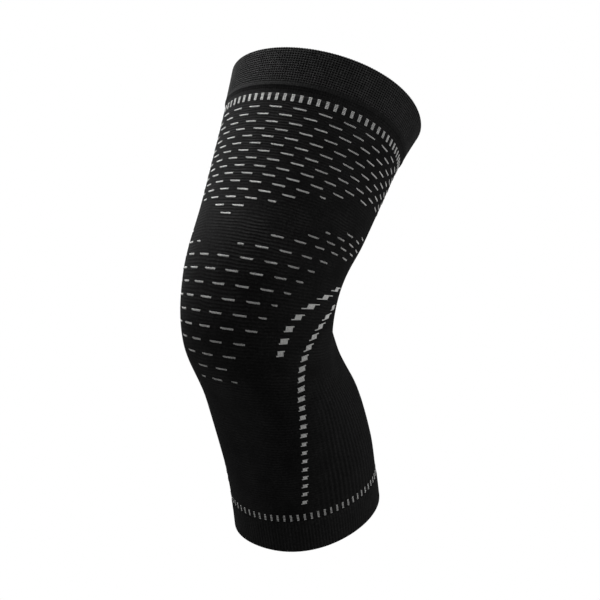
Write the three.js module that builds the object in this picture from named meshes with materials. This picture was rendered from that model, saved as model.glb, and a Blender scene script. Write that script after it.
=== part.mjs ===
// A knitted knee sleeve in the shape that it has on a bent leg: a hollow tube with a cuff at each end.
// Millimetres, +Z up. The front of the knee faces -Y, and the origin is the middle of the leg's line.

import * as THREE from 'three';
import { LoftGeometry } from 'three/addons/geometries/LoftGeometry.js';

// The leg's line, which every section is square to. Places along it are measured up from the lower edge.
const LENGTH = 300;
const SHIN_LEAN = 12; // degrees forward of upright
const THIGH_LEAN = 25; // degrees back from upright
const BEND_MIDDLE = 135; // place of the middle of the knee's bend
const BEND_HALF = 100; // the leg turns this far below and above that place
const LINE_STEPS = 60;

// Mean radius of the knitted tube on each part of the leg
const CALF_RADIUS = 50.5;
const KNEE_RADIUS = 50;
const THIGH_RADIUS = 62;

// Knit
const BODY_WALL = 2;
const THIGH_CUFF = 29; // height of the thigh cuff, its plain neck included
const WELT = 26; // height of its doubled upper part
const WELT_PROUD = 0.7; // how far that part stands out from the tube
const ROLL = 4.5; // height of the rolled lower edge of that part
const ROLL_PROUD = 0.5; // how far the roll stands out from the welt
const CALF_CUFF = 22; // height of the calf cuff
const CALF_PROUD = 0.4; // how far it stands out from the tube
const GAP = 0.3; // between the faces of two knitted parts

// Facets
const AROUND = 72;
const BODY_RINGS = 27;
const CUFF_RINGS = 4;
const RIM_STEPS = 5;

// The sections up the leg. up is a share of LENGTH, and the other columns are shares of the radius that a row
// follows: the mean radius, the shift forward of the leg's line, the stretch from front to back, and the
// drawing out into three soft corners, one of them at the back.
const SECTIONS = [
  { up: 0.00, follows: CALF_RADIUS, mean: 0.999, forward: -0.326, stretch: 0.075, corners: 0.032 },
  { up: 0.07, follows: CALF_RADIUS, mean: 0.996, forward: -0.329, stretch: 0.059, corners: 0.015 },
  { up: 0.18, follows: CALF_RADIUS, mean: 0.997, forward: -0.315, stretch: 0.045, corners: 0.020 },
  { up: 0.31, follows: CALF_RADIUS, mean: 0.992, forward: -0.177, stretch: 0.026, corners: 0.067 },
  { up: 0.43, follows: KNEE_RADIUS, mean: 1.008, forward: 0.219, stretch: 0.107, corners: 0.057 },
  { up: 0.55, follows: KNEE_RADIUS, mean: 0.985, forward: 0.398, stretch: 0.052, corners: 0.053 },
  { up: 0.68, follows: THIGH_RADIUS, mean: 0.883, forward: 0.195, stretch: 0.022, corners: 0.036 },
  { up: 0.81, follows: THIGH_RADIUS, mean: 0.956, forward: 0.140, stretch: 0.030, corners: 0.037 },
  { up: 0.91, follows: THIGH_RADIUS, mean: 1.010, forward: 0.111, stretch: 0.039, corners: 0.033 },
  { up: 1.00, follows: THIGH_RADIUS, mean: 1.089, forward: 0.062, stretch: 0.046, corners: 0.028 },
];
const SECTION_COLUMNS = ['mean', 'forward', 'stretch', 'corners'];

const sections = new THREE.CubicInterpolant(
  SECTIONS.map((row) => row.up * LENGTH),
  SECTIONS.flatMap((row) => SECTION_COLUMNS.map((column) => row[column] * row.follows)),
  SECTION_COLUMNS.length,
);

// How far the leg's line leans forward at a place, in radians. Above the knee it leans back.
function leanAt(up) {
  const turned = THREE.MathUtils.smoothstep(up, BEND_MIDDLE - BEND_HALF, BEND_MIDDLE + BEND_HALF);
  return THREE.MathUtils.degToRad(THREE.MathUtils.lerp(SHIN_LEAN, -THIGH_LEAN, turned));
}

// The point of the leg's line at a place, summed in short steps from the line's middle
function linePoint(up) {
  const point = new THREE.Vector3();
  const step = (up - LENGTH / 2) / LINE_STEPS;
  for (let i = 0; i < LINE_STEPS; i++) {
    const lean = leanAt(LENGTH / 2 + (i + 0.5) * step);
    point.y -= step * Math.sin(lean);
    point.z += step * Math.cos(lean);
  }
  return point;
}

// One ring of points round the leg, depth mm inside the tube's outer face, from the front round by +X
function ring({ up, depth }) {
  const [mean, forward, stretch, corners] = sections.evaluate(up);
  const lean = leanAt(up);
  const centre = linePoint(up);
  const ahead = new THREE.Vector3(0, -Math.cos(lean), -Math.sin(lean));
  const aside = new THREE.Vector3(1, 0, 0);
  return Array.from({ length: AROUND }, (_, i) => {
    const turn = (i / AROUND) * 2 * Math.PI;
    const radius = mean + forward * Math.cos(turn)
      + stretch * Math.cos(2 * turn) - corners * Math.cos(3 * turn);
    const change = -forward * Math.sin(turn)
      - 2 * stretch * Math.sin(2 * turn) + 3 * corners * Math.sin(3 * turn);
    const outward = new THREE.Vector2(
      radius * Math.sin(turn) - change * Math.cos(turn),
      radius * Math.cos(turn) + change * Math.sin(turn),
    ).normalize();
    return centre.clone()
      .addScaledVector(aside, radius * Math.sin(turn) - depth * outward.x)
      .addScaledVector(ahead, radius * Math.cos(turn) - depth * outward.y);
  });
}

// Evenly spaced places from one to another, both included, at one depth
function face(from, to, depth, count) {
  return Array.from({ length: count }, (_, i) => ({ up: from + ((to - from) * i) / (count - 1), depth }));
}

// The round edge of a cuff, from its outer face over to its inner one. towards is 1 on an upper edge and -1 on
// a lower one.
function rim(edge, towards, proud) {
  const half = (BODY_WALL + proud) / 2;
  return Array.from({ length: RIM_STEPS + 1 }, (_, i) => {
    const turn = (i / RIM_STEPS) * Math.PI;
    return { up: edge - towards * half * (1 - Math.sin(turn)), depth: half * (1 - Math.cos(turn)) - proud };
  });
}

// A closed wall round the leg from its profile, which runs up the outer face and down the inner one
function knitted(name, profile, colour) {
  const rings = profile.map(ring);
  const geometry = new LoftGeometry([...rings, rings[0]], { closed: true });
  const material = new THREE.MeshStandardMaterial({ color: colour, roughness: 0.9, metalness: 0 });
  const mesh = new THREE.Mesh(geometry, material);
  mesh.name = name;
  return mesh;
}

function sleeveBody() {
  const low = CALF_CUFF;
  const high = LENGTH - THIGH_CUFF;
  return knitted('sleeve_body', [
    ...face(low, high, 0, BODY_RINGS),
    ...face(high, low, BODY_WALL, BODY_RINGS),
  ], '#18181a');
}

function thighCuff() {
  const low = LENGTH - THIGH_CUFF + GAP;
  const weltLow = LENGTH - WELT;
  const edge = rim(LENGTH, 1, WELT_PROUD);
  return knitted('thigh_cuff', [
    ...face(low, weltLow, 0, 2),
    { up: weltLow + ROLL / 3, depth: -WELT_PROUD - ROLL_PROUD },
    { up: weltLow + ROLL, depth: -WELT_PROUD },
    ...face(weltLow + 2 * ROLL, edge[0].up, -WELT_PROUD, CUFF_RINGS - 1),
    ...edge.slice(1, -1),
    ...face(edge[0].up, low, BODY_WALL, CUFF_RINGS),
  ], '#1e1e20');
}

function calfCuff() {
  const high = CALF_CUFF - GAP;
  const edge = rim(0, -1, CALF_PROUD);
  return knitted('calf_cuff', [
    ...face(edge[0].up, high - CALF_PROUD, -CALF_PROUD, CUFF_RINGS),
    { up: high, depth: 0 },
    ...face(high, edge[0].up, BODY_WALL, CUFF_RINGS),
    ...edge.slice(1, -1).reverse(),
  ], '#161618');
}

const sleeve = new THREE.Group();
sleeve.add(sleeveBody(), thighCuff(), calfCuff());

export default sleeve;
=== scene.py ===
# %% [markdown]
# # A knitted knee sleeve
#
# This lesson dresses the solid model of a knee sleeve: a black tube knitted in one piece, in the shape
# that it has on a bent leg. The solids give the size and the place of everything. Each of them is
# replaced by a finer surface of the same form, and the pale marks that are knitted into the tube are
# laid on as stitches.

import bpy
import numpy as np
from mathutils import Matrix, Vector


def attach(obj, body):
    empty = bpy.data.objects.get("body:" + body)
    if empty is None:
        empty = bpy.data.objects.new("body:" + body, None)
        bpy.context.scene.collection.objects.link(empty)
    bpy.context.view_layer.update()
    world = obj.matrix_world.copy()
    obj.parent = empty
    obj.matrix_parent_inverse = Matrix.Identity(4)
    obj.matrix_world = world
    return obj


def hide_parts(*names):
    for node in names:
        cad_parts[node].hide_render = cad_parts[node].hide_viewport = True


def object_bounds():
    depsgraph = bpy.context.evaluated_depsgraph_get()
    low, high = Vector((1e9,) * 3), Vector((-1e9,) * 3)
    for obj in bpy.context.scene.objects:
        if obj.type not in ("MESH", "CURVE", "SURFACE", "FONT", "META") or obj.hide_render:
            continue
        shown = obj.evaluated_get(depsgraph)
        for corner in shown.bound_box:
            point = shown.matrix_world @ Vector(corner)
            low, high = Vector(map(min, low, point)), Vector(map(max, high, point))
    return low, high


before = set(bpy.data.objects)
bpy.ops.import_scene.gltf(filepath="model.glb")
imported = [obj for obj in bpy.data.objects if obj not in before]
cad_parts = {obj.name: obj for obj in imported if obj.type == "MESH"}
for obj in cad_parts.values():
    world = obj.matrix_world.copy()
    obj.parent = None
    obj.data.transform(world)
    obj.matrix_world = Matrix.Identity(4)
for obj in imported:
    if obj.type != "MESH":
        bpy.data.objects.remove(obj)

cad_low, cad_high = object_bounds()
MM = 0.001
print("solids:", sorted(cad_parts))

# %% [markdown]
# ## The leg's line and its sections
#
# The sleeve was knitted to fit a leg, so its surface is easiest to describe from the leg: a line that
# leans forward along the shin and back along the thigh, with an oval section square to it at every
# place. A place is measured in millimetres up that line from the sleeve's lower edge, and round the leg
# as a share of the girth from the front towards the wearer's left. The same few sizes shape the solids,
# so both fit each other.

# %% The line's sizes and the table of sections
LENGTH = 300.0
SHIN_LEAN, THIGH_LEAN = 12.0, 25.0  # degrees forward and back from upright
BEND_MIDDLE, BEND_HALF = 135.0, 100.0
CALF, KNEE, THIGH = 50.5, 50.0, 62.0  # mean radius of each part
WALL = 2.0

# Place as a share of the length, then shares of the radius in the second column: mean radius, shift
# forward, stretch from front to back, and drawing out into three soft corners
SECTIONS = np.array([
    (0.00, CALF, 0.999, -0.326, 0.075, 0.032),
    (0.07, CALF, 0.996, -0.329, 0.059, 0.015),
    (0.18, CALF, 0.997, -0.315, 0.045, 0.020),
    (0.31, CALF, 0.992, -0.177, 0.026, 0.067),
    (0.43, KNEE, 1.008, 0.219, 0.107, 0.057),
    (0.55, KNEE, 0.985, 0.398, 0.052, 0.053),
    (0.68, THIGH, 0.883, 0.195, 0.022, 0.036),
    (0.81, THIGH, 0.956, 0.140, 0.030, 0.037),
    (0.91, THIGH, 1.010, 0.111, 0.039, 0.033),
    (1.00, THIGH, 1.089, 0.062, 0.046, 0.028),
])
PLACES = SECTIONS[:, 0] * LENGTH
SHAPES = SECTIONS[:, 2:] * SECTIONS[:, 1:2]
print("sections:", len(SECTIONS))

# %% Smooth curves, and how far the line leans


def blend_rows(knots, rows, x):
    """A smooth curve through the rows of a table. Between two rows it is the cubic that starts and ends
    with the slopes there. A row's slope is that from the row before it to the row after it, and the
    first and the last row have the slope that leaves the curve unbent."""
    step = np.diff(knots)[:, None]
    slope = np.empty_like(rows)
    slope[1:-1] = (rows[2:] - rows[:-2]) / (knots[2:] - knots[:-2])[:, None]
    slope[0] = 1.5 * (rows[1] - rows[0]) / step[0] - 0.5 * slope[1]
    slope[-1] = 1.5 * (rows[-1] - rows[-2]) / step[-1] - 0.5 * slope[-2]
    x = np.asarray(x, float)
    i = np.clip(np.searchsorted(knots, x, side="right") - 1, 0, len(knots) - 2)
    gap = (knots[i + 1] - knots[i])[..., None]
    t = (x - knots[i])[..., None] / gap
    start = rows[i] * (1 + 2 * t) + slope[i] * gap * t
    end = rows[i + 1] * (3 - 2 * t) + slope[i + 1] * gap * (t - 1)
    return start * (1 - t) ** 2 + end * t ** 2


def ease(x, low, high):
    """0 below low, 1 above high, and the smooth step 3t^2 - 2t^3 between them."""
    t = np.clip((np.asarray(x, float) - low) / (high - low), 0, 1)
    return t * t * (3 - 2 * t)


def lean_at(up):
    """The line's lean forward in radians: the shin's lean eased into the thigh's over the knee's bend."""
    turned = ease(up, BEND_MIDDLE - BEND_HALF, BEND_MIDDLE + BEND_HALF)
    return np.radians(SHIN_LEAN - (SHIN_LEAN + THIGH_LEAN) * turned)


print("lean at both ends in degrees:", np.degrees(lean_at([0, LENGTH])).round(1))

# %% [markdown]
# ## From a place on the knit to a point in space
#
# A knitter counts stitches, and stitches are spread evenly along the girth, not along the angle. So the
# arc length round each section is summed once into a table, and any share of the girth is looked up in
# it. The whole table is one array sum, which is quicker and plainer than walking round each ring.

# %% Tables that turn a share of the girth into an angle
PAST_ENDS = 5.0  # mm that the line goes on past both edges, for the soft rims
LINE_POINTS, RING_COUNT, ANGLE_COUNT = 3101, 241, 1441
LINE = np.linspace(-PAST_ENDS, LENGTH + PAST_ENDS, LINE_POINTS)
LEANS = lean_at(LINE)
STEP = LINE[1] - LINE[0]
LINE_Y = np.r_[0, np.cumsum(-(np.sin(LEANS[1:]) + np.sin(LEANS[:-1])) * STEP / 2)]
LINE_Z = np.r_[0, np.cumsum((np.cos(LEANS[1:]) + np.cos(LEANS[:-1])) * STEP / 2)]
LINE_Y -= np.interp(LENGTH / 2, LINE, LINE_Y)
LINE_Z -= np.interp(LENGTH / 2, LINE, LINE_Z)


def section(up, turn):
    """Radius and its slope at an angle: mean + forward cos t + stretch cos 2t - corners cos 3t."""
    mean, forward, stretch, corners = np.moveaxis(blend_rows(PLACES, SHAPES, up), -1, 0)
    radius = mean + forward * np.cos(turn) + stretch * np.cos(2 * turn) - corners * np.cos(3 * turn)
    change = -forward * np.sin(turn) - 2 * stretch * np.sin(2 * turn) + 3 * corners * np.sin(3 * turn)
    return radius, change


RINGS = np.linspace(0, LENGTH, RING_COUNT)
ANGLES = np.linspace(0, 2 * np.pi, ANGLE_COUNT)
SHARES = np.linspace(0, 1, ANGLE_COUNT)
radius, change = section(RINGS[:, None], ANGLES[None, :])
pace = np.hypot(radius, change)
along = np.cumsum((pace[:, 1:] + pace[:, :-1]) / 2 * (ANGLES[1] - ANGLES[0]), axis=1)
along = np.c_[np.zeros(len(RINGS)), along]
GIRTHS = along[:, -1]
TURNS = np.array([np.interp(SHARES, ring / ring[-1], ANGLES) for ring in along])
print("girths in mm go from", GIRTHS.min().round(0), "to", GIRTHS.max().round(0))

# %% A point on the sleeve


def turn_of(up, share):
    """The angle at a share of the girth, read between the four nearest values of the table."""
    row = np.clip(up / LENGTH, 0, 1) * (len(RINGS) - 1)
    whole, part = np.divmod(share, 1.0)
    column = part * (len(SHARES) - 1)
    i = np.minimum(row.astype(int), len(RINGS) - 2)
    j = np.minimum(column.astype(int), len(SHARES) - 2)
    a, b = row - i, column - j
    low = TURNS[i, j] * (1 - b) + TURNS[i, j + 1] * b
    high = TURNS[i + 1, j] * (1 - b) + TURNS[i + 1, j + 1] * b
    return low * (1 - a) + high * a + 2 * np.pi * whole


def sleeve_point(up, share, out):
    """The point in metres at a place up the leg, a share of the girth and a distance out of the tube's
    face: the line's point, plus the section's point, plus the section's outward normal times that
    distance."""
    up, share, out = np.broadcast_arrays(np.asarray(up, float), share, out)
    turn = turn_of(up, share)
    radius, change = section(up, turn)
    lean = lean_at(up)
    aside = radius * np.sin(turn) - change * np.cos(turn)
    ahead = radius * np.cos(turn) + change * np.sin(turn)
    size = np.hypot(aside, ahead)
    x = radius * np.sin(turn) + out * aside / size
    front = radius * np.cos(turn) + out * ahead / size
    y = np.interp(up, LINE, LINE_Y) - front * np.cos(lean)
    z = np.interp(up, LINE, LINE_Z) - front * np.sin(lean)
    return np.stack([x, y, z], -1) * MM


KNEE_PLACE = 129.0  # mm up the line
print("front of the knee in mm:", (sleeve_point(KNEE_PLACE, 0, 0) / MM).round(1))

# %% The columns of stitches
# The kneecap spreads the knit over it: stitches are wider at its front and closer at its sides
CAP_PLACE, CAP_REACH, CAP_SPREAD = 148.0, 52.0, 0.0206


def share_of(up, wale):
    """The share of the girth at which a column of stitches lies, itself given as a share of all columns."""
    spread = CAP_SPREAD * np.exp(-((up - CAP_PLACE) / CAP_REACH) ** 2)
    return wale + spread * np.sin(4 * np.pi * wale)


def girth_at(up):
    """Girth in millimetres at a place up the leg."""
    return np.interp(up, RINGS, GIRTHS)


edges_and_knee = [0, KNEE_PLACE, LENGTH]
print("girths in mm at the lower edge, knee and upper edge:", girth_at(edges_and_knee).round(0))

# %% [markdown]
# ## Meshes from arrays
#
# A piece is a list of points and a list of faces. Both are whole arrays, so Blender can take them in
# one go. The wall of a knitted part is a grid: its rows follow a profile up the outer face, over the
# edge and down the inner face, and its columns go round the leg. Both directions close on themselves,
# so the wall is one closed skin with no seam, as the tube is that comes off a circular knitting
# machine.

# %% A mesh from arrays


def make_piece(name, points, faces, uv=None, values=None):
    """A mesh object from points, a list of face arrays (one array for each count of corners), a place
    on the knit for each corner and named values for each point."""
    mesh = bpy.data.meshes.new(name)
    mesh.vertices.add(len(points))
    mesh.vertices.foreach_set("co", points.astype(np.float32).ravel())
    corners = np.concatenate([f.ravel() for f in faces]).astype(np.int32)
    sizes = np.concatenate([np.full(len(f), f.shape[1]) for f in faces])
    mesh.loops.add(len(corners))
    mesh.loops.foreach_set("vertex_index", corners)
    mesh.polygons.add(len(sizes))
    mesh.polygons.foreach_set("loop_start", np.r_[0, np.cumsum(sizes)[:-1]].astype(np.int32))
    mesh.polygons.foreach_set("use_smooth", np.ones(len(sizes), bool))
    if uv is not None:
        mesh.uv_layers.new(name="knit").uv.foreach_set("vector", uv.astype(np.float32).ravel())
    for label, value in (values or {}).items():
        attribute = mesh.attributes.new(label, "FLOAT", "POINT")
        attribute.data.foreach_set("value", value.astype(np.float32).ravel())
    mesh.update(calc_edges=True)
    mesh.validate()
    piece = bpy.data.objects.new(name, mesh)
    bpy.context.scene.collection.objects.link(piece)
    print(f"{name}: {int((sizes - 2).sum())} triangles")
    return piece


# %% A closed wall of knit


def knitted_wall(name, up, out, columns, relief, values=None):
    """A closed wall round the leg. up and out give its profile, and relief(up, wale) is added to out on
    the rows of the outer face, which are those where out is above the wall's middle. values are named
    functions of the same two, kept with each point for the materials."""
    wale = np.arange(columns) / columns
    rows = len(up)
    up_grid, wale_grid = np.meshgrid(up, wale, indexing="ij")
    out_grid = np.repeat(np.asarray(out, float)[:, None], columns, axis=1)
    on_outer = out_grid > -WALL / 2
    out_grid = out_grid + np.where(on_outer, relief(up_grid, wale_grid), 0)
    points = sleeve_point(up_grid, share_of(up_grid, wale_grid), out_grid).reshape(-1, 3)
    k, j = np.meshgrid(np.arange(rows), np.arange(columns), indexing="ij")
    k_next, j_next = (k + 1) % rows, (j + 1) % columns
    faces = np.stack([k * columns + j, k * columns + j_next,
                      k_next * columns + j_next, k_next * columns + j], -1).reshape(-1, 4)
    u = np.stack([j, j + 1, j + 1, j], -1) / columns
    v = np.asarray(up)[np.stack([k, k, k_next, k_next], -1)] / LENGTH
    found = {label: value_at(up_grid, wale_grid) for label, value_at in (values or {}).items()}
    return make_piece(name, points, [faces], np.stack([u, v], -1).reshape(-1, 2), found)


# %% [markdown]
# ## The tube
#
# The tube is plain knit, smooth in front and on its sides. Behind the knee and down the calf the
# machine made ribs, which grip without pressing. They could be a bump in the material, but a rib nearly
# four millimetres wide also shows on the outline and in the light along its flank, so the ribs are real
# waves in the surface. They start behind the stepped line of pale blocks, so that line's place is
# worked out first.

# %% The stepped line down the side, and the ribs behind it
TICKS = 72  # short bars in each ring round the leg; places across the knit are counted in them

# Place up the leg in mm, and the side line's distance from the front there in ticks
SIDE_LINE = np.array([
    (35.6, 8.45),
    (60, 9.38),
    (80, 10.05),
    (100, 11.05),
    (115, 12.55),
    (130, 14.35),
    (144, 17.0),
    (158, 20.8),
])
SIDE_ENDS = SIDE_LINE[[0, -1], 0]
RIB_COUNT = 90
RIB_DEPTH = 0.34  # mm from the tube's face, where a crest is, down into a groove
RIB_TOP, RIB_FADE = 138.0, 40.0  # where the ribs end, and the height over which they fade there
RIB_START = 0.07  # share of the girth over which they deepen behind the side line


def side_line(up):
    """Share of the girth at which the stepped line lies."""
    return blend_rows(SIDE_LINE[:, 0], SIDE_LINE[:, 1:], np.clip(up, *SIDE_ENDS))[..., 0] / TICKS


def rib_share(up, wale):
    """How strongly the knit is ribbed: 0 ahead of the side line and above the bend, 1 at the back."""
    share = share_of(up, wale)
    behind = np.minimum(share, 1 - share) - side_line(up)
    return ease(behind, 0.0, RIB_START) * (1 - ease(up, RIB_TOP - RIB_FADE, RIB_TOP))


def rib_relief(up, wale):
    """A cosine wave round the leg, as deep as the knit is ribbed there."""
    return RIB_DEPTH * rib_share(up, wale) * (np.cos(2 * np.pi * RIB_COUNT * wale) - 1) / 2


print("a rib at the calf's edge is", (girth_at(0) / RIB_COUNT).round(1), "mm wide")

# %% The tube's wall
CALF_CUFF, THIGH_CUFF = 22.0, 29.0  # heights in mm
KNIT_GAP = 0.04  # between the tube and a cuff, in mm
TUBE_ROWS, TUBE_INNER_ROWS = 100, 16
WAVE_COLUMNS = 8  # columns of points to a rib

low, high = CALF_CUFF, LENGTH - THIGH_CUFF
outer = np.linspace(low, high, TUBE_ROWS)
inner = np.linspace(high, low, TUBE_INNER_ROWS)
body = knitted_wall(
    "sleeve_knit",
    np.r_[outer, inner],
    np.r_[np.zeros(len(outer)), np.full(len(inner), -WALL)],
    WAVE_COLUMNS * RIB_COUNT,
    rib_relief,
    {"ribbed": rib_share},
)

# %% [markdown]
# ## The thigh cuff
#
# The upper edge is a doubled band of waffle knit: raised threads cross each other and leave small
# square pits. At its lower end the band's fold makes a soft rolled ridge, and then a short plain neck
# runs down to the ring of pale bars. The pits are one and a half to two millimetres apart, wide enough
# to see, so they are part of the surface.

# %% The relief of the waffle band and its rolled edge
WELT, WELT_PROUD = 26.0, 0.7
WELT_LOW = LENGTH - WELT
WELT_TOP = LENGTH + 1.0  # the soft edge stands a little above the solid's
RISE_LOW, RISE_HIGH = WELT_LOW - 2.2, WELT_LOW + 3.0  # the band rises from the neck between these places
ROLL_MIDDLE, ROLL_PROUD, ROLL_HALF = WELT_LOW + 2.0, 0.28, 1.2
WAFFLE_ROUND, WAFFLE_ROWS = 240, 14
WAFFLE_LOW, WAFFLE_HIGH = WELT_LOW + 5.0, WELT_TOP - 0.9
WAFFLE_DEPTH = 0.5
WAFFLE_EASE = 0.6  # mm below and above WAFFLE_LOW over which the pits reach their whole depth
ROLL_SHARE = 0.3  # share of that depth on the rolled edge


def welt_out(up):
    """How far the band stands out: eased up from the neck, plus a bell-shaped ridge where it is rolled."""
    band = WELT_PROUD * ease(up, RISE_LOW, RISE_HIGH)
    return band + ROLL_PROUD * np.exp(-((up - ROLL_MIDDLE) / ROLL_HALF) ** 2)


def waffle_relief(up, wale):
    """Two waves, one round the leg and one up it; the higher of them at each place is the thread on
    top. The rolled edge keeps a part of their depth."""
    row = (up - WAFFLE_LOW) / (WAFFLE_HIGH - WAFFLE_LOW) * WAFFLE_ROWS
    across = np.cos(2 * np.pi * WAFFLE_ROUND * wale)
    upward = np.cos(2 * np.pi * row)
    on_roll = ROLL_SHARE * ease(up, WELT_LOW - 2, WELT_LOW)
    on_band = (1 - ROLL_SHARE) * ease(up, WAFFLE_LOW - WAFFLE_EASE, WAFFLE_LOW + WAFFLE_EASE)
    return WAFFLE_DEPTH * (on_roll + on_band) * (np.maximum(across, upward) - 1) / 2


print("a pit at the upper edge is", (girth_at(LENGTH) / WAFFLE_ROUND).round(1), "mm wide")

# %% The thigh cuff's wall
EDGE_STEPS = 10
ROLL_ROWS, CUFF_INNER_ROWS = 14, 6
PIT_ROWS = PIT_COLUMNS = 4  # rows and columns of points to a pit


def round_edge(edge, towards, proud):
    """Half a circle from the outer face over to the inner one, as places up the leg and distances out."""
    half = (WALL + proud) / 2
    turn = np.linspace(0, np.pi, EDGE_STEPS + 1)
    return edge - towards * half * (1 - np.sin(turn)), proud - half * (1 - np.cos(turn))


edge_up, edge_out = round_edge(WELT_TOP, 1, WELT_PROUD)

# Rows just below and just above the place where the band rises keep the neck straight
neck = np.array([high + KNIT_GAP, RISE_LOW - 0.2])
roll = np.linspace(RISE_LOW + 0.2, WAFFLE_LOW - 0.3, ROLL_ROWS)
waffle = np.arange(WAFFLE_LOW, edge_up[0] - 0.1, (WAFFLE_HIGH - WAFFLE_LOW) / WAFFLE_ROWS / PIT_ROWS)
outer = np.r_[neck, roll, waffle]
inner = np.linspace(edge_up[-1], high + KNIT_GAP, CUFF_INNER_ROWS)[1:]
thigh_cuff = knitted_wall(
    "thigh_welt",
    np.r_[outer, edge_up, inner],
    np.r_[welt_out(outer), edge_out, np.full(len(inner), -WALL)],
    PIT_COLUMNS * WAFFLE_ROUND,
    waffle_relief,
)

# %% [markdown]
# ## The calf cuff
#
# The lower edge is a narrower doubled band, nearly smooth, with fine ribs about two millimetres apart
# and a soft round edge.

# %% The finely ribbed band
CALF_PROUD = 0.4
CALF_STEP = 1.2  # height in mm over which the band steps back to the tube
CALF_ROWS = 10
FINE_RIBS = 150
FINE_DEPTH = 0.07
FINE_LOW, FINE_HIGH = CALF_CUFF - 5, CALF_CUFF - 1  # the ribs fade out between these places


def fine_relief(up, wale):
    """A shallow cosine wave round the leg, which fades out at the band's upper end."""
    inside = 1 - ease(up, FINE_LOW, FINE_HIGH)
    return FINE_DEPTH * inside * (np.cos(2 * np.pi * FINE_RIBS * wale) - 1) / 2


edge_up, edge_out = round_edge(0.0, -1, CALF_PROUD)
top = low - KNIT_GAP
outer = np.linspace(edge_up[0], top, CALF_ROWS)[1:]
inner = np.linspace(top, edge_up[-1], CUFF_INNER_ROWS)[:-1]
stepped = CALF_PROUD * (1 - ease(outer, top - CALF_STEP, top))
calf_cuff = knitted_wall(
    "calf_welt",
    np.r_[outer, inner, edge_up[::-1]],
    np.r_[stepped, np.full(len(inner), -WALL), edge_out[::-1]],
    WAVE_COLUMNS * FINE_RIBS,
    fine_relief,
)

# %% [markdown]
# ## One stitch
#
# Every pale mark is made of knit stitches, and from outside a knit stitch is a V: two strands that lean
# together and sink into the stitch below. Each strand is shaped like a grain of rice, a few faces long,
# because there are thousands of them. A row of such Vs has the straight upper edge and the toothed
# lower edge that a knitted dash has. A texture could draw them, but small solids catch the light along
# their upper sides.

# %% The sizes of a strand
STRAND_RINGS = np.array([0.16, 0.5, 0.84])  # places of its rings of points, from its upper end down
STRAND_SIDES = 5
STRAND_TOP, STRAND_FOOT = 0.40, 0.04  # from the stitch's middle line, as shares of its width
STRAND_LIFT = 0.16  # mm that a strand bows out of the fabric
STRAND_SUNK = 0.1  # mm that its ends lie below the fabric's face
print("triangles in a stitch:", 4 * STRAND_SIDES * len(STRAND_RINGS))

# %% A function that lays stitches on the sleeve


def strand_faces(count):
    """The faces of all strands: four-cornered ones between rings, and a fan of triangles at both ends."""
    each = len(STRAND_RINGS) * STRAND_SIDES + 2
    start = (np.arange(count) * each)[:, None, None]
    ring, j = np.meshgrid(np.arange(len(STRAND_RINGS) - 1), np.arange(STRAND_SIDES), indexing="ij")
    here = 1 + ring * STRAND_SIDES
    above = here + STRAND_SIDES
    j_next = (j + 1) % STRAND_SIDES
    quads = np.stack([here + j, here + j_next, above + j_next, above + j], -1).reshape(-1, 4)
    j = np.arange(STRAND_SIDES)
    j_next = (j + 1) % STRAND_SIDES
    end = 1 + (len(STRAND_RINGS) - 1) * STRAND_SIDES
    caps = np.r_[np.c_[0 * j, 1 + j_next, 1 + j], np.c_[0 * j + each - 1, end + j, end + j_next]]
    return [(quads + start).reshape(-1, 4), (caps + start).reshape(-1, 3)]


def lay_stitches(name, up, share, width, height, thick):
    """V stitches at places up the leg and shares of the girth. A strand runs from an upper corner to
    the middle below. Its radius is thick times the width times the square root of sin(pi s), s going
    from 0 to 1 along it, and its middle line bows out of the fabric by STRAND_LIFT times sin(pi s)."""
    up, share, width, height = (a.ravel() for a in np.broadcast_arrays(up, share, width, height))
    side = np.array([-1.0, 1.0])[None, :, None, None]
    s = STRAND_RINGS[None, None, :, None]
    around = (np.arange(STRAND_SIDES) / STRAND_SIDES * 2 * np.pi)[None, None, None, :]
    w, h = width[:, None, None, None], height[:, None, None, None]
    run_x, run_y = -side * w * (STRAND_TOP - STRAND_FOOT), -h
    run = np.hypot(run_x, run_y)
    radius = thick * w * np.sqrt(np.sin(np.pi * s))
    x = side * w * STRAND_TOP + s * run_x + radius * np.cos(around) * (-run_y / run)
    y = h / 2 + s * run_y + radius * np.cos(around) * (run_x / run)
    z = STRAND_LIFT * np.sin(np.pi * s) + radius * np.sin(around)
    rings = np.stack(np.broadcast_arrays(x, y, z), -1)
    count = len(up) * 2
    rings = rings.reshape(count, len(STRAND_RINGS) * STRAND_SIDES, 3)
    first = np.stack(np.broadcast_arrays(side * w * STRAND_TOP, h / 2, -STRAND_SUNK), -1)
    last = np.stack(np.broadcast_arrays(side * w * STRAND_FOOT, -h / 2, -STRAND_SUNK), -1)
    local = np.concatenate([first.reshape(count, 1, 3), rings, last.reshape(count, 1, 3)], 1)
    up_all = np.repeat(up, 2)[:, None] + local[..., 1]
    share_all = np.repeat(share, 2)[:, None] + local[..., 0] / girth_at(np.repeat(up, 2))[:, None]
    points = sleeve_point(up_all, share_all, local[..., 2]).reshape(-1, 3)
    return make_piece(name, points, strand_faces(count))


# %% [markdown]
# ## The dashes
#
# Two fields of dashes cover the thigh and the kneecap. They stand in rows, each row half a step aside
# from the one before it, so a field is a list of rows: where the row is, and how far from the front its
# last dash lies. The pattern is the same on both sides, so a row is made once and mirrored. Some rows
# end in a shorter dash.

# %% The stitches of a row of dashes
DASH_COLUMNS = 24  # dashes in a full round
WALES = 360  # stitches in a full round
DASH = 8  # stitches in a whole dash
PER_COLUMN = WALES // DASH_COLUMNS
print("stitches from one dash to the next:", PER_COLUMN)


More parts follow.
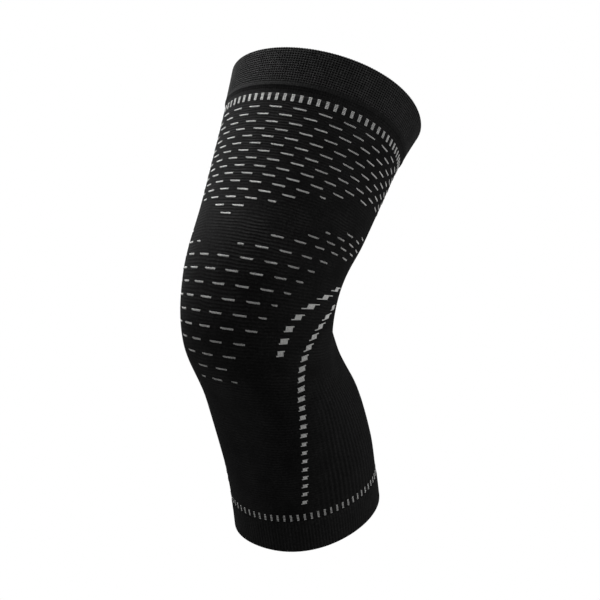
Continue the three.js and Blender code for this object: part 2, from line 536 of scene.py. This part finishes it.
def dash_row(up, first, last, first_count=DASH, last_count=DASH):
    """Places of the stitches of one row, on both sides, and where each lies in its dash. The dashes'
    middles go from the first column to the last in whole steps. The first dash keeps its outer stitches
    and the last one its inner ones."""
    columns = np.arange(first, last + 0.1, 1.0)
    stitch = np.arange(DASH) - (DASH - 1) / 2
    wales = columns[:, None] * PER_COLUMN + stitch
    kept = np.ones(wales.shape, bool)
    kept[0, :DASH - first_count] = False
    kept[-1, last_count:] = False
    one_side = wales[kept]
    wale = np.unique(np.r_[one_side, -one_side].round(3) % WALES)
    in_dash = (wale - (first - 0.5) * PER_COLUMN) % PER_COLUMN - (PER_COLUMN - DASH) / 2
    return np.full(len(wale), up), wale / WALES, in_dash


def field(places, rows):
    """All stitches of a field: places up the leg, shares of the columns and places in their dashes."""
    parts = [dash_row(up, *row) for up, row in zip(places, rows)]
    return [np.concatenate(values) for values in zip(*parts)]


# %% The rows of both fields
# Thigh field, from the lowest row up: each row's first and last column, and the stitches in its first
# and its last dash where those are cut
WHOLE_ROUND = [(0.5, 11.5), (0, 12)]
THIGH_ROWS = [
    (0, 0), (0.5, 0.5),
    (0, 2, DASH, 5), (0.5, 2.5),
    (0, 4, DASH, 4), (0.5, 4.5),
    (0, 6), (0.5, 7.5),
    (0, 12), *WHOLE_ROUND * 3,
]
THIGH_FIRST, THIGH_STEP = 195.8, 4.546  # mm: place of the lowest row, and from it to the next
THIGH_OPENING = 0.0123  # mm times a row's number squared: the rows lie further apart towards the cuff

# Knee field, the same way
KNEE_ROWS = [
    (0, 1, DASH, 4), (0.5, 0.5),
    (0, 1), (0.5, 1.5, DASH, 7),
    (0, 2, DASH, 7), (0.5, 2.5, DASH, 5),
    (0, 3, DASH, 4), (0.5, 3.5, DASH, 5),
    (0, 4, DASH, 6), (0.5, 4.5, DASH, 6),
    (1, 5, 4), (2.5, 6.5),
    (4, 7), (4.5, 7.5, 4),
    (6, 7), (7.5, 7.5),
]
KNEE_FIRST, KNEE_STEP, KNEE_UPPER_STEP = 114.7, 6.609, 4.627
KNEE_TURN = 11  # the row from which the upper step holds

row = np.arange(len(THIGH_ROWS))
thigh_field = field(THIGH_FIRST + THIGH_STEP * row + THIGH_OPENING * row * row, THIGH_ROWS)
row = np.arange(len(KNEE_ROWS))
lower, upper = np.minimum(row, KNEE_TURN), np.maximum(row - KNEE_TURN, 0)
knee_field = field(KNEE_FIRST + KNEE_STEP * lower + KNEE_UPPER_STEP * upper, KNEE_ROWS)
print("stitches in the dashes:", len(thigh_field[0]), len(knee_field[0]))

# %% Lay the dashes
STITCH_TALL = 1.2  # mm
SHORT_STITCH = 0.6  # height of a dash's first stitch as a share of that
THIGH_YARN, KNEE_YARN = 0.145, 0.11  # half a strand's thickness as a share of the stitch's width


def stitch_width(up, wale):
    """The width of a stitch in millimetres: the girth shared out, times how far the knit is spread."""
    step = 0.5 / WALES
    return (share_of(up, wale + step) - share_of(up, wale - step)) * girth_at(up)


def lay_dashes(name, thick, up, wale, in_dash):
    """The stitches of a field. The yarn comes in at one end of a dash, so the first stitches there are
    shorter, with their upper edges in line with the others."""
    height = STITCH_TALL * (SHORT_STITCH + (1 - SHORT_STITCH) * ease(in_dash, 0, 2))
    up_there = up + (STITCH_TALL - height) / 2
    return lay_stitches(name, up_there, share_of(up, wale), stitch_width(up, wale), height, thick)


dashes = [
    lay_dashes("thigh_dashes", THIGH_YARN, *thigh_field),
    lay_dashes("knee_dashes", KNEE_YARN, *knee_field),
]

# %% [markdown]
# ## The rings of bars
#
# A ring of short upright bars runs round the leg next to each cuff. A bar is two stitches wide and four
# or five courses tall, and each ring has seventy-two of them, one to every five stitches.

# %% Lay the bars
BAR_WALES, BAR_TALL = 2, 4.7

# Name, place up the leg in mm, ticks that the ring is turned from the front, courses in a bar, a
# stitch's share of the width that it would have if the yarn filled its column, and half a strand's
# thickness as a share of the stitch's width
BAR_RINGS = [
    ("thigh_bars", 268.4, -0.17, 5, 1.0, 0.19),
    ("calf_bars", 25.0, 0.2, 4, 0.75, 0.16),
]


def bar_ring(name, place, start, courses, wide, thick):
    """Stitches of a whole ring: ticks by courses by the two columns of a bar."""
    pitch = BAR_TALL / courses
    tick = (np.arange(TICKS) + start)[:, None, None]
    course = (np.arange(courses) - (courses - 1) / 2)[None, :, None] * pitch
    column = (np.arange(BAR_WALES) - (BAR_WALES - 1) / 2)[None, None, :] * wide
    up, wale = np.broadcast_arrays(place + course, tick / TICKS + column / WALES)
    return lay_stitches(name, up, wale % 1, girth_at(up) / WALES * wide, pitch, thick)


bars = [bar_ring(*ring) for ring in BAR_RINGS]

# %% [markdown]
# ## The stepped blocks
#
# On each side a line of small blocks runs from the calf's bars up behind the knee, and a shorter arc
# follows the hollow under the thigh. A block is three to six stitches wide and five courses tall. Its
# lowest and its highest course stick out on one side like tails, which grow longer where the line runs
# more level.

# %% The stitches of a line of blocks
BLOCK_COURSES = 5
TAIL_GROWS = 1.1  # stitches that a tail is longer for a line that steps one stitch aside per millimetre
BLOCK_PITCH, PITCH_GROWS = 0.44, 0.12  # mm from course to course on the calf, and what is added above it
GROW_LOW, GROW_HIGH = 70, 115  # the blocks grow between these places
STITCH_GRID = np.arange(-10, 10.5, 0.5)  # whole and half stitches aside of a block's middle
INNER_ARC = np.array([
    (131.3, 10.75),
    (144, 12.2),
    (150.3, 13.5),
    (156.3, 15.3),
    (162.5, 17.8),
    (169, 20.6),
])


def arc_share(up):
    """Share of the girth at which the inner arc lies."""
    return blend_rows(INNER_ARC[:, 0], INNER_ARC[:, 1:], up)[..., 0] / TICKS


def block_line(places, share_at, least, least_tail, rise):
    """Stitches of a line of blocks, as block by course by stitch. A block is wider where the line runs
    more level. Each course moves aside by a third of the line's own slope. The highest one keeps the
    stitches that stick out ahead of the block by no more than the tail, the lowest one those that stick
    out behind it. Above the calf the blocks are taller, and their courses run up towards the back by
    rise for each stitch."""
    course = (np.arange(BLOCK_COURSES) - (BLOCK_COURSES - 1) / 2)[None, :, None]
    stitch = STITCH_GRID[None, None, :]
    slope = ((share_at(places + 1) - share_at(places - 1)) / 2 * WALES)[:, None, None]
    above_calf = ease(places, GROW_LOW, GROW_HIGH)[:, None, None]
    count = np.clip(np.round(least + above_calf + slope), 3, 6)
    tail = np.clip(np.round(least_tail + TAIL_GROWS * slope ** 2), 1, 5)
    ahead = (count - 1) / 2 + np.where(course > 1, tail, 0)
    behind = (count - 1) / 2 + np.where(course < -1, tail, 0)
    kept = (stitch <= ahead) & (stitch >= -behind) & ((stitch - (count - 1) / 2) % 1 == 0)
    pitch = BLOCK_PITCH + PITCH_GROWS * above_calf
    aside = course * slope * pitch / 3
    share = share_at(places)[:, None, None] + (stitch + aside) / WALES
    up = places[:, None, None] + course * pitch + rise * above_calf * stitch
    return up[kept], share[kept]


print("a block on the calf is", round(BLOCK_COURSES * BLOCK_PITCH, 1), "mm tall")

# %% Lay the blocks
OUTER_COUNT, INNER_COUNT = 22, 7
BLOCK_STITCH, BLOCK_YARN = 0.68, 0.22  # height in mm, and half a strand's thickness as a share of the width

# Places of the blocks, share of the girth, least stitches in a block and in a tail, and rise of a
# course in mm for each stitch
BLOCK_LINES = [
    (np.linspace(*SIDE_ENDS, OUTER_COUNT), side_line, 3.2, 0.8, 0.22),
    (np.linspace(*INNER_ARC[[0, -1], 0], INNER_COUNT), arc_share, 3.0, 0.2, 0.08),
]
lines = [block_line(*line) for line in BLOCK_LINES]
block_up = np.concatenate([up for up, _ in lines] * 2)
one_side = np.concatenate([share for _, share in lines])
block_share = np.r_[one_side, 1 - one_side]
block_width = girth_at(block_up) / WALES
blocks = lay_stitches("side_blocks", block_up, block_share, block_width, BLOCK_STITCH, BLOCK_YARN)

# %% [markdown]
# ## Helpers for materials
#
# Colours are given as sRGB values, but light is summed in linear ones, so one function turns
# them. Another one adds a shader node with its settings and its links, whatever node it is.

# %% Colour and node helpers


def linear(hex_colour):
    """An sRGB hex colour as linear red, green, blue and full alpha."""
    value = np.array([int(hex_colour[i:i + 2], 16) for i in (1, 3, 5)]) / 255
    value = np.where(value <= 0.04045, value / 12.92, ((value + 0.055) / 1.055) ** 2.4)
    return (*value, 1.0)


def add(tree, kind, links=None, **settings):
    """Adds a shader node, sets its settings, and fills its inputs with values or with other nodes'
    outputs. An input is given by its name, or by its number where a node has several of one name. It
    returns the node's first output."""
    node = tree.nodes.new("ShaderNode" + kind)
    for name, value in settings.items():
        setattr(node, name, value)
    for name, value in (links or {}).items():
        if isinstance(value, bpy.types.NodeSocket):
            tree.links.new(value, node.inputs[name])
        else:
            node.inputs[name].default_value = value
    return node.outputs[0] if len(node.outputs) else node


def new_material(name):
    """An empty node material and its tree."""
    material = bpy.data.materials.new(name)
    material.use_nodes = True
    material.node_tree.nodes.clear()
    return material, material.node_tree


# %% [markdown]
# ## Nylon knit
#
# The whole sleeve is knitted from black textured nylon over an elastic core. Nylon has an index of
# refraction near 1.53, and each filament is glossy, but thousands of crimped ones scatter the light, so
# the cloth looks matt. Its loose fibres catch light that grazes the surface, which gives the pale rim
# along the outline; the sheen of the shader stands for them. The loops lie in columns and courses less
# than a millimetre apart, too fine for a picture of the whole sleeve, so only every second course is
# drawn, as lines 1.7 millimetres apart, and the columns of loops as a fainter pattern. These lines, the
# columns and the pits and grooves of the other knits are both a bump and painted shade: the colour is
# darker in their gaps, where shade falls.

# %% The parts that all knits share
KNIT_IOR, KNIT_ROUGHNESS, KNIT_GLOSS = 1.53, 0.85, 0.02
FUZZ_SHEEN = linear("#c9ccd2")

# Patterns to the metre: uneven patches about 11 mm across, and tufts of fibres under 1 mm
PATCHES, TUFTS = 90.0, 1300.0
NOISE_LOW, NOISE_HIGH = 0.3, 0.7  # most of a noise lies between these
FUZZ = 0.35  # height of the fibres as a share of the pattern's


def finish_knit(tree, height, shade, thread, groove_shade, depth, sheen):
    """The shader of a knit: its colour goes from the groove colour, which is painted shade for the gaps
    between threads, to the thread's colour with shade, three noises make that darker and lighter by a
    part, and the height in the pattern becomes a bump that is depth metres high."""
    place = add(tree, "TexCoord").node.outputs["Object"]
    uv = add(tree, "UVMap", uv_map="knit")
    along = add(tree, "Mapping", {"Vector": uv, "Scale": (WALES / 2, LENGTH, 1)})
    patches = add(tree, "TexNoise", {"Vector": place, "Scale": PATCHES, "Detail": 3.0, "Roughness": 0.6})
    tufts = add(tree, "TexNoise", {"Vector": place, "Scale": TUFTS, "Detail": 2.0, "Roughness": 0.7})
    streaks = add(tree, "TexNoise", {"Vector": along, "Scale": 1.0, "Detail": 2.0, "Roughness": 0.7})
    # The groove colour is painted shade: it darkens the gaps between threads, courses and ribs
    colours = {0: shade, 6: linear(groove_shade), 7: linear(thread)}
    colour = add(tree, "Mix", colours, data_type="RGBA").node.outputs[2]
    for noise, part in ((patches, 0.14), (tufts, 0.5), (streaks, 0.38)):
        tint = add(tree, "MapRange", {0: noise, 1: NOISE_LOW, 2: NOISE_HIGH, 3: 1 - part, 4: 1 + part})
        colour = add(tree, "VectorMath", {0: colour, "Scale": tint}, operation="SCALE")
    fuzz = add(tree, "Math", {0: tufts, 1: FUZZ, 2: height}, operation="MULTIPLY_ADD")
    bump = add(tree, "Bump", {"Height": fuzz, "Distance": depth, "Strength": 1.0})
    cloth = add(tree, "BsdfPrincipled", {
        "Base Color": colour,
        "Roughness": KNIT_ROUGHNESS,
        "IOR": KNIT_IOR,
        "Specular IOR Level": KNIT_GLOSS,
        "Normal": bump,
        "Sheen Weight": sheen,
        "Sheen Roughness": 0.45,
        "Sheen Tint": FUZZ_SHEEN,
    })
    add(tree, "OutputMaterial", {"Surface": cloth})


def knit_place(tree, wales, courses):
    """The place on the knit in columns and courses, as two outputs."""
    uv = add(tree, "UVMap", uv_map="knit")
    scaled = add(tree, "Mapping", {"Vector": uv, "Scale": (wales, courses, 1.0)})
    split = add(tree, "SeparateXYZ", {0: scaled}).node
    return split.outputs[0], split.outputs[1]


def wave(tree, value, turns=1.0):
    """Half plus half the cosine of the value times so many turns."""
    angle = add(tree, "Math", {0: value, 1: 2 * np.pi * turns}, operation="MULTIPLY")
    cosine = add(tree, "Math", {0: angle}, operation="COSINE")
    return add(tree, "Math", {0: cosine, 1: 0.5, 2: 0.5}, operation="MULTIPLY_ADD")


# %% Plain knit of the tube
COURSE_LINE = 1.7  # mm between the course lines that are drawn, twice as far apart as the real courses
DRIFTS, DRIFT = 45.0, 2.0  # slow waves to the metre, 22 mm each, and how many lines they shift the knit


def plain_nylon_knit():
    """Lines along the courses, a little wavy, and columns of loops, darker in their gaps as painted shade;
    behind the side line the colour follows the rib wave instead, with painted shade in its grooves.
    """
    material, tree = new_material("plain_nylon_knit")
    wale, course = knit_place(tree, WALES, LENGTH / COURSE_LINE)
    place = add(tree, "TexCoord").node.outputs["Object"]
    drift = add(tree, "TexNoise", {"Vector": place, "Scale": DRIFTS, "Detail": 1.0})
    wavy = add(tree, "Math", {0: drift, 1: DRIFT, 2: course}, operation="MULTIPLY_ADD")
    patches = add(tree, "MapRange", {0: drift, 1: 0.35, 2: 0.65, 3: 0.2, 4: 0.8})
    lines = add(tree, "Math", {0: wave(tree, wavy), 1: patches}, operation="MULTIPLY")
    loops = wave(tree, wale)
    weave = add(tree, "Math", {0: loops, 1: 0.3, 2: lines}, operation="MULTIPLY_ADD")
    # Painted shade in the rib grooves: the colour is darker between the rib crests
    rib_groove_shade = add(tree, "MapRange", {0: wave(tree, wale, RIB_COUNT / WALES), 3: 0.1, 4: 0.9})
    ribbed = add(tree, "Attribute", attribute_name="ribbed").node.outputs["Fac"]
    shade = add(tree, "Mix", {0: ribbed, 2: weave, 3: rib_groove_shade}).node.outputs[0]
    # Thread colour, and the darker groove colour that is painted shade in the gaps
    finish_knit(tree, weave, shade, "#1b1b1b", "#101010", 0.00020, 0.010)
    return material


# %% Waffle knit of the thigh cuff


def waffle_nylon_knit():
    """Pits darker than the threads that cross between them, where the band is waffle knit. The dark
    of the pits is painted shade.
    """
    material, tree = new_material("waffle_nylon_knit")
    rows = WAFFLE_ROWS / (WAFFLE_HIGH - WAFFLE_LOW)
    across, row = knit_place(tree, WAFFLE_ROUND, LENGTH * rows)
    row = add(tree, "Math", {0: row, 1: WAFFLE_LOW * rows}, operation="SUBTRACT")
    threads = add(tree, "Math", {0: wave(tree, across), 1: wave(tree, row)}, operation="MAXIMUM")
    above = add(tree, "MapRange", {0: row, 1: -0.6, 2: 0.4, 3: 0.0, 4: 1.0})
    plain = add(tree, "Math", {0: threads, 1: 0.30, 2: 0.08}, operation="MULTIPLY_ADD")
    # Squaring the threads widens the dark pits, which is painted shade
    threads = add(tree, "Math", {0: threads, 1: 2.0}, operation="POWER")
    shade = add(tree, "Mix", {0: above, 2: plain, 3: threads}).node.outputs[0]
    # Thread colour, and the near-black groove colour that is painted shade in the pits
    finish_knit(tree, shade, shade, "#2f2f2f", "#050505", 0.00020, 0.014)
    return material


# %% Fine ribbed knit of the calf cuff


def fine_nylon_knit():
    """Fine ribbing and course lines, a little darker between them: painted shade."""
    material, tree = new_material("fine_ribbed_nylon_knit")
    rib, course = knit_place(tree, FINE_RIBS, LENGTH / COURSE_LINE)
    lines = wave(tree, course)
    weave = add(tree, "Math", {0: lines, 1: 0.25, 2: wave(tree, rib)}, operation="MULTIPLY_ADD")
    # Thread colour, and the darker groove colour that is painted shade between the fine ribs
    finish_knit(tree, weave, weave, "#1a1a1a", "#131313", 0.00015, 0.010)
    return material


# %% [markdown]
# ## Pale yarn
#
# The marks are knitted with an undyed textured polyester yarn, a slightly greyish white. It is matt, and
# fine shadows between its filaments break up the white.

# %% Undyed yarn of the marks
YARN_IOR = 1.57  # polyester
FILAMENTS = 3500.0  # bundles of filaments to the metre, each about 0.3 mm across


def undyed_yarn():
    """A grey white with a fine bump of filaments."""
    material, tree = new_material("undyed_polyester_yarn")
    place = add(tree, "TexCoord").node.outputs["Object"]
    filaments = add(tree, "TexNoise", {"Vector": place, "Scale": FILAMENTS, "Detail": 2.0})
    colours = {0: filaments, 6: linear("#b4b4b3"), 7: linear("#e6e6e4")}
    bump = add(tree, "Bump", {"Height": filaments, "Distance": 0.00008, "Strength": 1.0})
    yarn = add(tree, "BsdfPrincipled", {
        "Base Color": add(tree, "Mix", colours, data_type="RGBA").node.outputs[2],
        "Roughness": 0.8,
        "IOR": YARN_IOR,
        "Specular IOR Level": 0.3,
        "Normal": bump,
        "Sheen Weight": 0.1,
    })
    add(tree, "OutputMaterial", {"Surface": yarn})
    return material


body.data.materials.append(plain_nylon_knit())
thigh_cuff.data.materials.append(waffle_nylon_knit())
calf_cuff.data.materials.append(fine_nylon_knit())
yarn = undyed_yarn()
marks = [*dashes, *bars, blocks]
for piece in marks:
    piece.data.materials.append(yarn)
print("materials:", sorted(m.name for m in bpy.data.materials))

# %% [markdown]
# ## What each piece stands for
#
# Every piece moves with the one body that the sleeve has, and the three knitted walls replace their
# solids. A knitted tube is cloth that the leg stretches.

# %% Ride and replace
for piece in (body, thigh_cuff, calf_cuff, *marks):
    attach(piece, "root")
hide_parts("sleeve_body")
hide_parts("thigh_cuff")
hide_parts("calf_cuff")

# %% [markdown]
# ## Floor, light and camera
#
# The sleeve is shown on white. The floor is a wide white dish whose rim rises behind and around
# everything, so that there is no horizon. It glows evenly and takes no part in lighting the sleeve:
# soft boxes and a grey sky do that. The strongest box hangs close above the sleeve, whose upper half is
# lighter than its lower one.

# %% The white dish
DISH_RADIUS, DISH_RIM, FLOOR_DROP = 4.0, 3.0, 0.02
DISH_SPREAD, DISH_LEAN = 1.6, 0.35  # how fast it widens, and how far its side leans inwards
SPOKES, DISH_RINGS = 64, 24
FLOOR = cad_low[2] - FLOOR_DROP

# From the middle, where step is 0, the dish widens evenly to its whole radius, and then its side rises
# and leans inwards up to the rim, where step is 1
angles = np.linspace(0, 2 * np.pi, SPOKES + 1)[:-1]
steps = np.linspace(0, 1, DISH_RINGS + 1)[1:]
turn, step = np.meshgrid(angles, steps, indexing="ij")
wide = DISH_RADIUS * np.minimum(step * DISH_SPREAD, 1 - DISH_LEAN * ease(step, 0.62, 1) ** 2)
tall = FLOOR + DISH_RIM * ease(step, 0.45, 1.15)
dish_points = np.stack([wide * np.cos(turn), wide * np.sin(turn), tall], -1).reshape(-1, 3)
dish_points = np.r_[dish_points, [[0, 0, FLOOR]]]
spoke = np.arange(SPOKES)
spoke_next = (spoke + 1) % SPOKES
ring = np.arange(DISH_RINGS - 1)
here = DISH_RINGS * spoke[:, None] + ring
beside = DISH_RINGS * spoke_next[:, None] + ring
quads = np.stack([here, here + 1, beside + 1, beside], -1).reshape(-1, 4)
middle = np.full(SPOKES, len(dish_points) - 1)
centre = np.stack([middle, spoke * DISH_RINGS, spoke_next * DISH_RINGS], -1)
dish = make_piece("white_floor", dish_points, [quads, centre])
white, tree = new_material("white_floor")
add(tree, "OutputMaterial", {"Surface": add(tree, "Emission", {"Color": (1, 1, 1, 1), "Strength": 1.0})})
dish.data.materials.append(white)
for ray in ("visible_diffuse", "visible_glossy", "visible_transmission", "visible_shadow"):
    setattr(dish, ray, False)

# %% Lights
SKY_STRENGTH = 0.30
world = bpy.data.worlds.new("grey_sky")
bpy.context.scene.world = world
world.use_nodes = True
sky = world.node_tree.nodes["Background"].inputs
sky["Color"].default_value = (1, 1, 1, 1)
sky["Strength"].default_value = SKY_STRENGTH

# Name, where it stands in metres, its size across in metres and its power in watts
SOFT_BOXES = [
    ("key_box", (-0.28, 0.04, 0.72), 0.4, 18.5),
    ("left_box", (-1.30, -0.90, -0.10), 0.8, 8.0),
    ("top_box", (0.10, 0.25, 1.60), 1.2, 14.0),
    ("right_box", (1.40, 0.55, 0.55), 0.9, 12.0),
]
for name, place, size, power in SOFT_BOXES:
    data = bpy.data.lights.new(name, "AREA")
    data.shape = "DISK"
    data.size = size
    data.energy = power
    box = bpy.data.objects.new(name, data)
    box.location = place
    box.rotation_euler = Vector(place).to_track_quat("Z", "Y").to_euler()
    box.visible_camera = False
    bpy.context.scene.collection.objects.link(box)
bpy.context.scene.view_settings.view_transform = "Standard"
print("soft boxes:", len(SOFT_BOXES))

# %% The camera
AZIMUTH, ELEVATION, DISTANCE = 40.0, 8.0, 0.550
ASIDE, ABOVE = 0.01387, 0.00912  # metres that the view is moved across and up
PHOTO_WIDTH, FOCAL_PIXELS = 600, 826.4
SENSOR = 36.0
a, e = np.radians(AZIMUTH), np.radians(ELEVATION)
back = Vector((np.sin(a) * np.cos(e), -np.cos(a) * np.cos(e), np.sin(e)))
right = Vector((np.cos(a), np.sin(a), 0))
upward = back.cross(right)
camera_data = bpy.data.cameras.new("camera")
camera_data.sensor_width = SENSOR
camera_data.lens = FOCAL_PIXELS / PHOTO_WIDTH * SENSOR
camera_data.clip_start = 0.01
camera = bpy.data.objects.new("camera", camera_data)
turned = Matrix((right, upward, back)).transposed().to_4x4()
camera.matrix_world = Matrix.Translation(back * DISTANCE + right * ASIDE + upward * ABOVE) @ turned
bpy.context.scene.collection.objects.link(camera)
bpy.context.scene.camera = camera
print("lens in mm:", round(camera_data.lens, 2))
